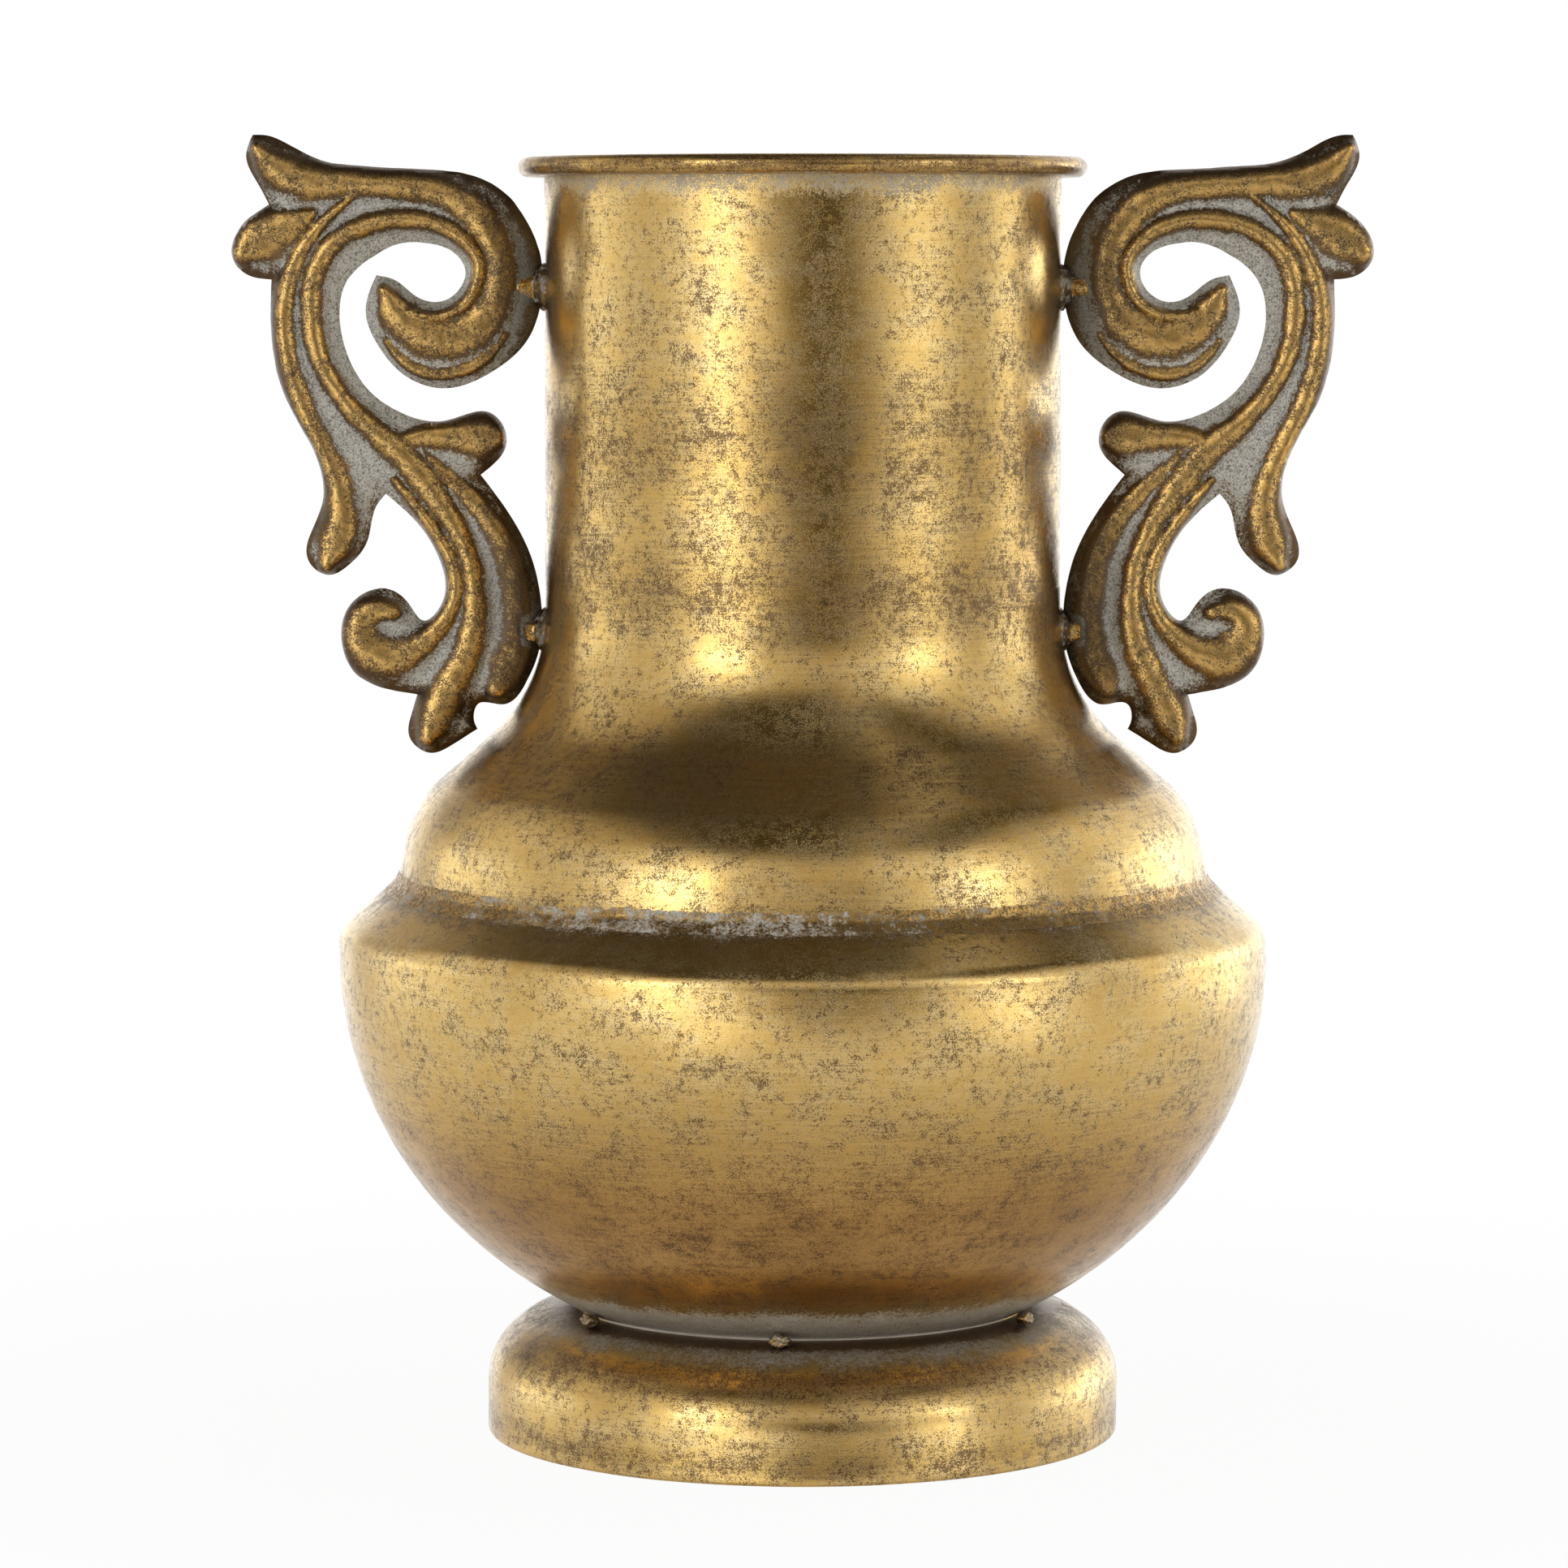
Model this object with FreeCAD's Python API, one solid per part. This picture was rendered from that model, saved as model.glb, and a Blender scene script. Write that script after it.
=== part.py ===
import FreeCAD, Part
import math
import os

# Urn vase in sheet metal with two cast scroll handles, in millimetres with Z up.
# The origin is the centre of the foot's underside, and the handles stand out along X.

# Sheet and joints
sheet_wall = 1.2
lap_length = 6.0
lap_clearance = 0.1
cut_overrun = 5.0
full_turn = 360.0
quarter_turn = math.pi / 2

# Foot
foot_radius = 80.6
foot_band_height = 12.9
foot_curve_height = 19.4
foot_curve_width = 23.0
foot_hem_width = 6.0

# Bowl, the lower half of an ellipse with an upright belt, a rounded crest and a ledge sloping in to the dome
bowl_depth = 103.4
bowl_floor_inset = 6.0
belt_height = 3.6
crest_radius = 6.5
ledge_angle = math.radians(51.5)
ledge_width = 14.8

# Dome, from the crease up to the neck, each curve running tangent into the next
dome_spread = 37.9
skirt_angle = math.radians(11.1)
skirt_length = 9.89
shoulder_angle = math.radians(48.4)
shoulder_radius = 28.3
throat_radius = 43.6
collar_height = 6.0

# Braze fillet in the crease
braze_up_skirt = 2.4
braze_along_ledge = 4.2

# Neck and rim
neck_radius = 65.3
rim_reach = 6.5
rim_thickness = 4.9

# Tack welds between bowl and foot, set by hand at uneven angles
tack_angles = (-95.0, -30.0, 32.0, 90.0, 150.0, 214.0)
tack_radius = 3.7
tack_outset = 7.0

# Handles: one flat casting each, alike on both faces
handle_gap = 0.9
handle_width = 78.0
handle_height = 156.8
handle_above_rim = 6.0
handle_drop = 36.7
handle_clearance = 0.4
web_thickness = 5.0
reed_thickness = 12.0
reed_station_spacing = 6.5

# Stubs that carry the handles, and the weld beads at the neck
stub_radius = 3.8
stub_reach_share = 0.123
stub_clearance = 0.1
lower_stub_rise = 31.05
upper_stub_drop = 38.57
weld_leg = 2.2
weld_edge = 0.3

# Outline of a handle's web, as shares of its width outward from the neck and of its height upward.
# Each stretch is one smooth curve, and the stretches meet at the notches between the leaves.
web_outline_shares = (
    ((0.931, 0.998), (0.897, 0.998), (0.805, 0.980), (0.700, 0.956), (0.595, 0.949), (0.385, 0.943),
     (0.228, 0.934), (0.123, 0.908), (0.044, 0.858), (0.000, 0.799), (0.000, 0.731), (0.046, 0.668),
     (0.165, 0.616), (0.310, 0.591), (0.442, 0.611), (0.528, 0.659), (0.569, 0.714), (0.534, 0.773)),
    ((0.534, 0.773), (0.474, 0.765), (0.408, 0.740), (0.335, 0.730), (0.277, 0.744), (0.245, 0.781),
     (0.276, 0.807), (0.360, 0.824), (0.452, 0.824), (0.545, 0.803), (0.629, 0.764), (0.654, 0.701),
     (0.626, 0.640), (0.560, 0.587), (0.455, 0.551), (0.310, 0.539), (0.165, 0.551), (0.113, 0.511),
     (0.198, 0.451)),
    ((0.198, 0.451), (0.101, 0.384), (0.035, 0.318), (0.004, 0.248), (0.004, 0.187), (0.053, 0.114),
     (0.127, 0.079), (0.209, 0.080), (0.223, 0.051), (0.212, 0.039)),
    ((0.212, 0.039), (0.289, 0.015), (0.369, 0.000), (0.435, 0.027), (0.427, 0.064), (0.408, 0.095)),
    ((0.408, 0.095), (0.513, 0.105), (0.606, 0.128), (0.655, 0.189), (0.628, 0.239), (0.512, 0.267),
     (0.430, 0.239), (0.388, 0.215), (0.329, 0.241), (0.326, 0.304), (0.391, 0.365), (0.507, 0.421)),
    ((0.507, 0.421), (0.539, 0.400), (0.569, 0.343), (0.630, 0.305), (0.696, 0.289), (0.762, 0.314),
     (0.743, 0.367), (0.710, 0.417), (0.733, 0.481), (0.824, 0.568), (0.873, 0.662), (0.874, 0.766)),
    ((0.874, 0.766), (0.953, 0.774), (1.000, 0.801), (0.965, 0.855), (0.880, 0.886)),
    ((0.880, 0.886), (0.911, 0.916), (0.953, 0.966), (0.931, 0.998)),
)

# Reeds cast on both faces of the web: places along the crest as shares of the handle's width and height,
# then the reed's own width there as a share of the handle's width.
inner_reed_shares = (
    (0.427, 0.715, 0.042), (0.348, 0.707, 0.058), (0.266, 0.719, 0.063), (0.208, 0.757, 0.068),
    (0.200, 0.796, 0.068), (0.250, 0.838, 0.074), (0.347, 0.869, 0.079), (0.465, 0.876, 0.084),
    (0.583, 0.860, 0.089), (0.681, 0.822, 0.095), (0.737, 0.762, 0.100), (0.741, 0.701, 0.100),
    (0.726, 0.653, 0.095), (0.671, 0.596, 0.090), (0.574, 0.537, 0.106), (0.469, 0.493, 0.132),
    (0.370, 0.435, 0.132), (0.286, 0.373, 0.100), (0.231, 0.308, 0.090), (0.216, 0.248, 0.106),
    (0.227, 0.196, 0.122), (0.267, 0.140, 0.138), (0.318, 0.090, 0.159), (0.352, 0.051, 0.150),
    (0.372, 0.026, 0.085),
)
outer_reed_shares = (
    (0.604, 0.899, 0.032), (0.696, 0.861, 0.053), (0.779, 0.807, 0.074), (0.824, 0.744, 0.087),
    (0.831, 0.681, 0.090), (0.808, 0.616, 0.095), (0.761, 0.551, 0.100), (0.699, 0.485, 0.106),
    (0.655, 0.426, 0.121), (0.650, 0.373, 0.148), (0.677, 0.330, 0.137), (0.699, 0.306, 0.069),
)
top_limb_shares = (
    (0.916, 0.977, 0.050), (0.866, 0.949, 0.116), (0.790, 0.927, 0.142), (0.669, 0.919, 0.131),
    (0.530, 0.915, 0.110), (0.399, 0.910, 0.116), (0.281, 0.893, 0.121), (0.181, 0.854, 0.132),
    (0.134, 0.799, 0.121), (0.137, 0.744, 0.121), (0.198, 0.694, 0.153), (0.322, 0.672, 0.158),
    (0.414, 0.688, 0.158), (0.482, 0.726, 0.116), (0.508, 0.749, 0.053),
)
volute_rim_shares = (
    (0.114, 0.679, 0.032), (0.178, 0.641, 0.047), (0.283, 0.617, 0.053), (0.376, 0.617, 0.053),
    (0.449, 0.637, 0.047), (0.499, 0.666, 0.032),
)
side_leaf_shares = (
    (0.965, 0.809, 0.079), (0.935, 0.822, 0.137), (0.881, 0.838, 0.153), (0.807, 0.855, 0.105),
    (0.738, 0.872, 0.037),
)
inner_leaf_shares = (
    (0.464, 0.505, 0.047), (0.363, 0.515, 0.084), (0.258, 0.515, 0.111), (0.174, 0.513, 0.132),
    (0.139, 0.514, 0.090),
)
curl_reed_shares = (
    (0.475, 0.443, 0.037), (0.399, 0.396, 0.053), (0.328, 0.347, 0.063), (0.284, 0.294, 0.069),
    (0.287, 0.248, 0.074), (0.346, 0.205, 0.079), (0.433, 0.173, 0.101), (0.521, 0.159, 0.132),
    (0.587, 0.181, 0.122), (0.597, 0.214, 0.095), (0.552, 0.235, 0.090), (0.483, 0.233, 0.058),
)
edge_reed_shares = (
    (0.443, 0.503, 0.053), (0.338, 0.461, 0.069), (0.232, 0.415, 0.079), (0.148, 0.360, 0.095),
    (0.096, 0.291, 0.106), (0.083, 0.233, 0.111), (0.092, 0.176, 0.122), (0.124, 0.132, 0.127),
    (0.148, 0.106, 0.085),
)

# How far each reed rises, as a share of the full rise of the thickest one
reeds_with_rise_shares = (
    (inner_reed_shares, 1.0),
    (outer_reed_shares, 0.9),
    (top_limb_shares, 0.95),
    (volute_rim_shares, 0.7),
    (side_leaf_shares, 0.8),
    (inner_leaf_shares, 0.8),
    (curl_reed_shares, 0.85),
    (edge_reed_shares, 0.8),
)

# A reed's section: how wide and how high its shoulders are, and how it fades toward its tips
shoulder_width_share = 0.62
shoulder_rise_share = 0.74
reed_tip_share = 0.45
reed_fade_power = 6

# Sizes worked out from the stack of pieces: the neck is as long as the handles that stand beside it need
neck_height = handle_height - handle_above_rim - handle_drop - collar_height
crease_radius = neck_radius + dome_spread
bowl_radius = crease_radius + ledge_width
stub_length = handle_gap + stub_reach_share * handle_width
stub_places = {"upper": handle_height - upper_stub_drop, "lower": lower_stub_rise}
seat_height = foot_band_height + foot_curve_height
seat_radius = foot_radius - foot_curve_width
bowl_floor_radius = seat_radius - bowl_floor_inset
bowl_centre_height = seat_height + bowl_depth * math.sqrt(1 - (seat_radius / bowl_radius) ** 2)
belt_top = bowl_centre_height + belt_height


def at(radius, height):
    return FreeCAD.Vector(radius, 0, height)


def inward_up(angle):
    """The direction that leans in toward the axis by the angle from straight up."""
    return at(-math.sin(angle), math.cos(angle))


def on_circle(centre, radius, angle):
    return centre + at(math.cos(angle), math.sin(angle)) * radius


def arc(centre, radius, start, end):
    middle = (start + end) / 2
    points = [on_circle(centre, radius, angle) for angle in (start, middle, end)]
    return Part.Arc(*points).toShape()


def ellipse_arc(centre, side_reach, end_reach, end_angle):
    """From the side of an ellipse round toward its top, or its bottom when end_reach is negative."""
    side = centre + at(side_reach, 0)
    end = centre + at(0, end_reach)
    if abs(side_reach) >= abs(end_reach):
        return Part.Ellipse(side, end, centre).toShape(0, end_angle)
    return Part.Ellipse(end, side, centre).toShape(quarter_turn - end_angle, quarter_turn)


def meeting_point(first, first_way, second, second_way):
    """Where two straight lines of one profile cross."""
    across = first_way.x * second_way.z - first_way.z * second_way.x
    apart = second - first
    along = (apart.x * second_way.z - apart.z * second_way.x) / across
    return first + first_way * along


def ends_of(edges):
    wire = Part.Wire(Part.sortEdges(edges)[0])
    points = wire.OrderedVertexes
    return points[0].Point, points[-1].Point


def spun_sheet(line):
    """Revolves the strip of sheet between a profile line and the same line one wall further in."""
    outer = line(0)
    inner = line(sheet_wall)
    outer_start, outer_end = ends_of(outer)
    inner_start, inner_end = ends_of(inner)
    edges = outer + inner
    if outer_start.distanceToPoint(inner_start) > outer_start.distanceToPoint(inner_end):
        inner_start, inner_end = inner_end, inner_start
    edges.append(Part.makeLine(outer_start, inner_start))
    edges.append(Part.makeLine(outer_end, inner_end))
    return spun(edges)


def spun(edges):
    wire = Part.Wire(Part.sortEdges(edges)[0])
    return Part.Face(wire).revolve(FreeCAD.Vector(0, 0, 0), FreeCAD.Vector(0, 0, 1), full_turn)


def spun_outline(points):
    return spun(Part.makePolygon(points + points[:1]).Edges)


def crest_end():
    return on_circle(at(bowl_radius - crest_radius, belt_top), crest_radius, ledge_angle)


def crease():
    """Where the dome's skirt stands on the bowl's ledge."""
    top_of_crest = crest_end()
    run = (top_of_crest.x - crease_radius) / math.sin(ledge_angle)
    return top_of_crest + inward_up(ledge_angle) * run


def shoulder_centre():
    """The shoulder curve takes over at the top of the straight skirt."""
    skirt_top = crease() + inward_up(skirt_angle) * skirt_length
    return skirt_top - at(math.cos(skirt_angle), math.sin(skirt_angle)) * shoulder_radius


def throat_centre():
    """The straight slope runs up from the shoulder curve until the throat curve can end on the neck."""
    out_of_slope = at(math.cos(shoulder_angle), math.sin(shoulder_angle))
    slope_foot = shoulder_centre() + out_of_slope * (shoulder_radius + throat_radius)
    return meeting_point(slope_foot, inward_up(shoulder_angle), at(neck_radius + throat_radius, 0), at(0, 1))


def throat_start():
    """Where the dome's throat curve becomes the upright collar."""
    return throat_centre() - at(throat_radius, 0)


def dome_line(inset):
    centre = shoulder_centre()
    radius = shoulder_radius - inset
    skirt_top = on_circle(centre, radius, skirt_angle)
    slope_bottom = on_circle(centre, radius, shoulder_angle)
    throat = throat_centre()
    slope_top = on_circle(throat, throat_radius + inset, math.pi + shoulder_angle)
    collar_bottom = on_circle(throat, throat_radius + inset, math.pi)
    skirt_foot = meeting_point(skirt_top, inward_up(skirt_angle), at(0, crease().z), at(1, 0))
    below_crease = skirt_foot - inward_up(skirt_angle) * (cut_overrun / 2)
    return [
        Part.makeLine(below_crease, skirt_top),
        arc(centre, radius, skirt_angle, shoulder_angle),
        Part.makeLine(slope_bottom, slope_top),
        arc(throat, throat_radius + inset, math.pi + shoulder_angle, math.pi),
        Part.makeLine(collar_bottom, collar_bottom + at(0, collar_height)),
    ]


def bowl_line(inset):
    centre = at(0, bowl_centre_height)
    reach = bowl_radius - inset
    depth = bowl_depth - inset
    floor_height = bowl_floor_height() + inset
    floor_angle = math.asin((bowl_centre_height - floor_height) / depth)
    floor_edge = centre + at(reach * math.cos(floor_angle), -depth * math.sin(floor_angle))
    crest_middle = at(bowl_radius - crest_radius, belt_top)
    crest_top = on_circle(crest_middle, crest_radius - inset, ledge_angle)
    lap_gap = (sheet_wall + lap_clearance + inset) / math.cos(skirt_angle)
    lap_side = crease() - at(lap_gap, 0)
    lap_foot = meeting_point(crest_top, inward_up(ledge_angle), lap_side, inward_up(skirt_angle))
    return [
        Part.makeLine(at(0, floor_height), floor_edge),
        ellipse_arc(centre, reach, -depth, floor_angle),
        Part.makeLine(at(reach, bowl_centre_height), at(reach, belt_top)),
        arc(crest_middle, crest_radius - inset, 0, ledge_angle),
        Part.makeLine(crest_top, lap_foot),
        Part.makeLine(lap_foot, lap_foot + inward_up(skirt_angle) * lap_length),
    ]


def bowl_floor_height():
    return bowl_centre_height - bowl_depth * math.sqrt(1 - (bowl_floor_radius / bowl_radius) ** 2)


def bowl_envelope():
    """The bowl as if it were solid, to shape the pieces that seat against its outside."""
    axis_top = crease() + inward_up(ledge_angle) * cut_overrun
    edges = bowl_line(0)[:4]
    edges.append(Part.makeLine(crest_end(), axis_top))
    edges.append(Part.makeLine(axis_top, at(0, axis_top.z)))
    edges.append(Part.makeLine(at(0, axis_top.z), at(0, bowl_floor_height())))
    return spun(edges)


def body_envelope(clearance=0):
    """The neck and the dome as if they were solid, for the pieces that end on them or stand clear of them."""
    throat_top = throat_start() + at(clearance, 0)
    neck_top = throat_top + at(0, collar_height + neck_height)
    edges = dome_line(-clearance)[:4]
    bottom = ends_of(edges[:1])[0]
    edges.append(Part.makeLine(throat_top, neck_top))
    edges.append(Part.makeLine(neck_top, at(0, neck_top.z)))
    edges.append(Part.makeLine(at(0, neck_top.z), at(0, bottom.z)))
    edges.append(Part.makeLine(at(0, bottom.z), bottom))
    return spun(edges)


def foot_line(inset):
    centre = at(seat_radius, foot_band_height)
    reach = foot_curve_width - inset
    rise = foot_curve_height - inset
    hem_inner = at(foot_radius - foot_hem_width, inset)
    return [
        Part.makeLine(hem_inner, at(foot_radius - inset, inset)),
        Part.makeLine(at(foot_radius - inset, inset), centre + at(reach, 0)),
        ellipse_arc(centre, reach, rise, quarter_turn),
    ]


def foot_ring():
    return spun_sheet(foot_line).cut(bowl_envelope())


def foot_tack_welds():
    """Lumps of weld in the notch where the foot's top runs in under the bowl."""
    ring_radius = seat_radius + tack_outset
    foot_top = foot_band_height + foot_curve_height * math.sqrt(1 - (tack_outset / foot_curve_width) ** 2)
    bowl_bottom = bowl_centre_height - bowl_depth * math.sqrt(1 - (ring_radius / bowl_radius) ** 2)
    lump = Part.makeSphere(tack_radius, at(ring_radius, (foot_top + bowl_bottom) / 2))
    lump = lump.cut(bowl_envelope()).cut(foot_envelope())
    welds = []
    for angle in tack_angles:
        weld = lump.copy()
        weld.rotate(FreeCAD.Vector(0, 0, 0), FreeCAD.Vector(0, 0, 1), angle)
        welds += weld.Solids
    return Part.makeCompound(welds)


def foot_envelope():
    """The foot as if it were solid."""
    edges = foot_line(0)[1:]
    edges.append(Part.makeLine(at(seat_radius, seat_height), at(0, seat_height)))
    edges.append(Part.makeLine(at(0, seat_height), at(0, 0)))
    edges.append(Part.makeLine(at(0, 0), at(foot_radius, 0)))
    return spun(edges)


def belly_bowl():
    return spun_sheet(bowl_line)


def shoulder_dome():
    """The skirt's lower edge is cut where it stands on the ledge."""
    return spun_sheet(dome_line).cut(bowl_envelope())


def waist_braze():
    corner = crease()
    up_skirt = corner + inward_up(skirt_angle) * braze_up_skirt
    down_ledge = corner - inward_up(ledge_angle) * braze_along_ledge
    return spun_outline([corner, down_ledge, up_skirt])


def neck_tube():
    """The tube's swaged lower end slips into the dome's collar."""
    joint = throat_start().z + collar_height
    top = joint + neck_height
    spigot_radius = neck_radius - sheet_wall - lap_clearance
    return spun_outline([
        at(neck_radius, joint),
        at(neck_radius, top),
        at(neck_radius - sheet_wall, top),
        at(neck_radius - sheet_wall, joint + sheet_wall),
        at(spigot_radius - sheet_wall, joint - sheet_wall),
        at(spigot_radius - sheet_wall, joint - lap_length),
        at(spigot_radius, joint - lap_length),
        at(spigot_radius, joint),
    ])


def rim_top():
    return throat_start().z + collar_height + neck_height


def rim_ring():
    round_radius = rim_thickness / 2
    flat_end = neck_radius + rim_reach - round_radius
    middle = rim_top() - round_radius
    bottom = rim_top() - rim_thickness
    return spun([
        Part.makeLine(at(flat_end, rim_top()), at(neck_radius, rim_top())),
        Part.makeLine(at(neck_radius, rim_top()), at(neck_radius, bottom)),
        Part.makeLine(at(neck_radius, bottom), at(flat_end, bottom)),
        arc(at(flat_end, middle), round_radius, -quarter_turn, quarter_turn),
    ])


def handle_inner():
    return neck_radius + handle_gap


def handle_bottom():
    return rim_top() + handle_above_rim - handle_height


def on_handle(out_share, up_share):
    """A place on the right handle's middle plane."""
    return at(handle_inner() + out_share * handle_width, handle_bottom() + up_share * handle_height)


def smooth_edge(points):
    curve = Part.BSplineCurve()
    curve.interpolate(points)
    return curve.toShape()


def web_plate():
    half = FreeCAD.Vector(0, web_thickness / 2, 0)
    edges = [smooth_edge([on_handle(*place) - half for place in stretch]) for stretch in web_outline_shares]
    return Part.Face(Part.Wire(edges)).extrude(half * 2)


def reed_section(middle, along, half_width, half_rise):
    """A lens with a crest on each face, a shoulder beside it and sharp edges on the middle plane."""
    side = along.cross(FreeCAD.Vector(0, 1, 0))
    crest = FreeCAD.Vector(0, half_rise, 0)
    shoulder = crest * shoulder_rise_share
    near = side * half_width
    inset = near * shoulder_width_share
    ring = [near, inset + shoulder, crest, shoulder - inset, near * -1, (inset + shoulder) * -1, crest * -1,
            inset - shoulder]
    return Part.makePolygon([middle + corner for corner in ring + ring[:1]])


def reed(shares, rise_share):
    """A tapering ridge lofted through lens sections along its crest line."""
    places = []
    for out_share, up_share, width_share in shares:
        places.append(on_handle(out_share, up_share) + FreeCAD.Vector(0, width_share * handle_width, 0))
    curve = Part.BSplineCurve()
    curve.interpolate(places)
    spans = round(curve.length() / reed_station_spacing)
    full_rise = reed_thickness / 2 * rise_share
    sections = []
    for station in range(spans + 1):
        share = station / spans
        value = curve.FirstParameter + share * (curve.LastParameter - curve.FirstParameter)
        place = curve.value(value)
        along = curve.tangent(value)[0]
        along.y = 0
        along.normalize()
        fade = 1 - (2 * share - 1) ** reed_fade_power
        half_rise = full_rise * (reed_tip_share + (1 - reed_tip_share) * fade)
        sections.append(reed_section(at(place.x, place.z), along, place.y / 2, half_rise))
    return Part.makeLoft(sections, True, True)


def stub_height(name):
    return handle_bottom() + stub_places[name]


def stub_bar(name, radius, start, length):
    """A round bar along X at one stub's height, starting at a distance from the axis."""
    return Part.makeCylinder(radius, length, at(start, stub_height(name)), FreeCAD.Vector(1, 0, 0))


def right_handle():
    """The reeded web, bored for the stubs and their welds and cut back where it would touch the body."""
    casting = web_plate().multiFuse([reed(shares, rise) for shares, rise in reeds_with_rise_shares])
    start = neck_radius - cut_overrun
    socket_radius = stub_radius + stub_clearance
    bead_radius = socket_radius + weld_leg
    bead_reach = cut_overrun + weld_leg + stub_clearance
    for name in stub_places:
        casting = casting.cut(stub_bar(name, socket_radius, start, cut_overrun + stub_length))
        casting = casting.cut(stub_bar(name, bead_radius, start, bead_reach))
    return casting.cut(body_envelope(handle_clearance)).removeSplitter()


def right_stub(name):
    bar = stub_bar(name, stub_radius, neck_radius - cut_overrun, stub_length + cut_overrun)
    return bar.cut(body_envelope())


def neck_weld(name):
    """A conical bead round the stub, standing on the neck."""
    start = neck_radius - cut_overrun
    base_radius = stub_radius + weld_leg
    axis = at(0, stub_height(name))
    profile = [
        axis + at(start, stub_radius),
        axis + at(start, base_radius),
        axis + at(neck_radius + weld_edge, base_radius),
        axis + at(neck_radius + weld_leg, stub_radius),
    ]
    face = Part.Face(Part.makePolygon(profile + profile[:1]))
    return face.revolve(axis, FreeCAD.Vector(1, 0, 0), full_turn).cut(body_envelope())


def mirrored(shape):
    return shape.mirror(FreeCAD.Vector(0, 0, 0), FreeCAD.Vector(1, 0, 0))


def stub_neck_welds():
    beads = []
    for name in stub_places:
        bead = neck_weld(name)
        beads += bead.Solids + mirrored(bead).Solids
    return Part.makeCompound(beads)


def save(name, shape):
    shape.exportStep(os.path.join("parts", name + ".step"))
    print(name, "solids", len(shape.Solids), "valid", shape.isValid(), "volume", round(shape.Volume))


os.makedirs("parts", exist_ok=True)
save("foot_ring", foot_ring())
save("foot_tack_welds", foot_tack_welds())
save("belly_bowl", belly_bowl())
save("waist_braze", waist_braze())
save("shoulder_dome", shoulder_dome())
save("neck_tube", neck_tube())
save("rim_ring", rim_ring())
handle = right_handle()
save("right_handle", handle)
save("left_handle", mirrored(handle))
for name in stub_places:
    stub = right_stub(name)
    save("right_" + name + "_stub", stub)
    save("left_" + name + "_stub", mirrored(stub))
save("stub_neck_welds", stub_neck_welds())
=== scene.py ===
import math
import bmesh
import bpy
import numpy as np
from mathutils import Matrix, Vector, noise
from mathutils.geometry import delaunay_2d_cdt


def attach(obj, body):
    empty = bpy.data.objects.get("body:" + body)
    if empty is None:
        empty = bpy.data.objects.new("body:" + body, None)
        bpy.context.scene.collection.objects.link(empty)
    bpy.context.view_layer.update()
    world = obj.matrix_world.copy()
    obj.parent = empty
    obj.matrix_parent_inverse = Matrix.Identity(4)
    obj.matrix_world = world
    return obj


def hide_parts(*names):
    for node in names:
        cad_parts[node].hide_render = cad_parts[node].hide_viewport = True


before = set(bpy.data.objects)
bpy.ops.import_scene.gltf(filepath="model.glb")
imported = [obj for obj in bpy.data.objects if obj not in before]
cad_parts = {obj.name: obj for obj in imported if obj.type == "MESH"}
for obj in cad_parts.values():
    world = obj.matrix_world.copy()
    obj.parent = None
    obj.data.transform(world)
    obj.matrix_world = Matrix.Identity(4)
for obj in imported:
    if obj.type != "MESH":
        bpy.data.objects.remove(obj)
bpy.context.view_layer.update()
scene = bpy.context.scene
mm = 0.001
sharpEdge = 40  # degrees between faces
print("frame loaded:", len(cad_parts), "pieces")

# Camera, at the height and distance that the ellipses of rim, crest and foot give
view = {"away": 1.5525, "height": 0.3009, "side": -0.00474, "tilt": 4.99, "lens": 140.42}

cameraData = bpy.data.cameras.new("camera")
cameraData.lens = view["lens"]
cameraData.sensor_width = 36
cameraData.clip_end = 50
camera = bpy.data.objects.new("camera", cameraData)
camera.location = (view["side"], -view["away"], view["height"])
camera.rotation_euler = (math.radians(90 - view["tilt"]), 0, 0)
scene.collection.objects.link(camera)
scene.camera = camera
scene.view_settings.view_transform = "Standard"


class Wire:
    # A shader socket that can stand in a sum
    def __init__(self, tree, socket):
        self.tree = tree
        self.socket = socket

    def maths(self, operation, first, second):
        node = self.tree.nodes.new("ShaderNodeMath")
        node.operation = operation
        for place, value in enumerate((first, second)):
            if isinstance(value, Wire):
                self.tree.links.new(value.socket, node.inputs[place])
            else:
                node.inputs[place].default_value = value
        return Wire(self.tree, node.outputs[0])

    def __add__(self, other):
        return self.maths("ADD", self, other)

    def __radd__(self, other):
        return self.maths("ADD", other, self)

    def __sub__(self, other):
        return self.maths("SUBTRACT", self, other)

    def __rsub__(self, other):
        return self.maths("SUBTRACT", other, self)

    def __mul__(self, other):
        return self.maths("MULTIPLY", self, other)

    def __rmul__(self, other):
        return self.maths("MULTIPLY", other, self)

    def __truediv__(self, other):
        return self.maths("DIVIDE", self, other)


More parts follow.
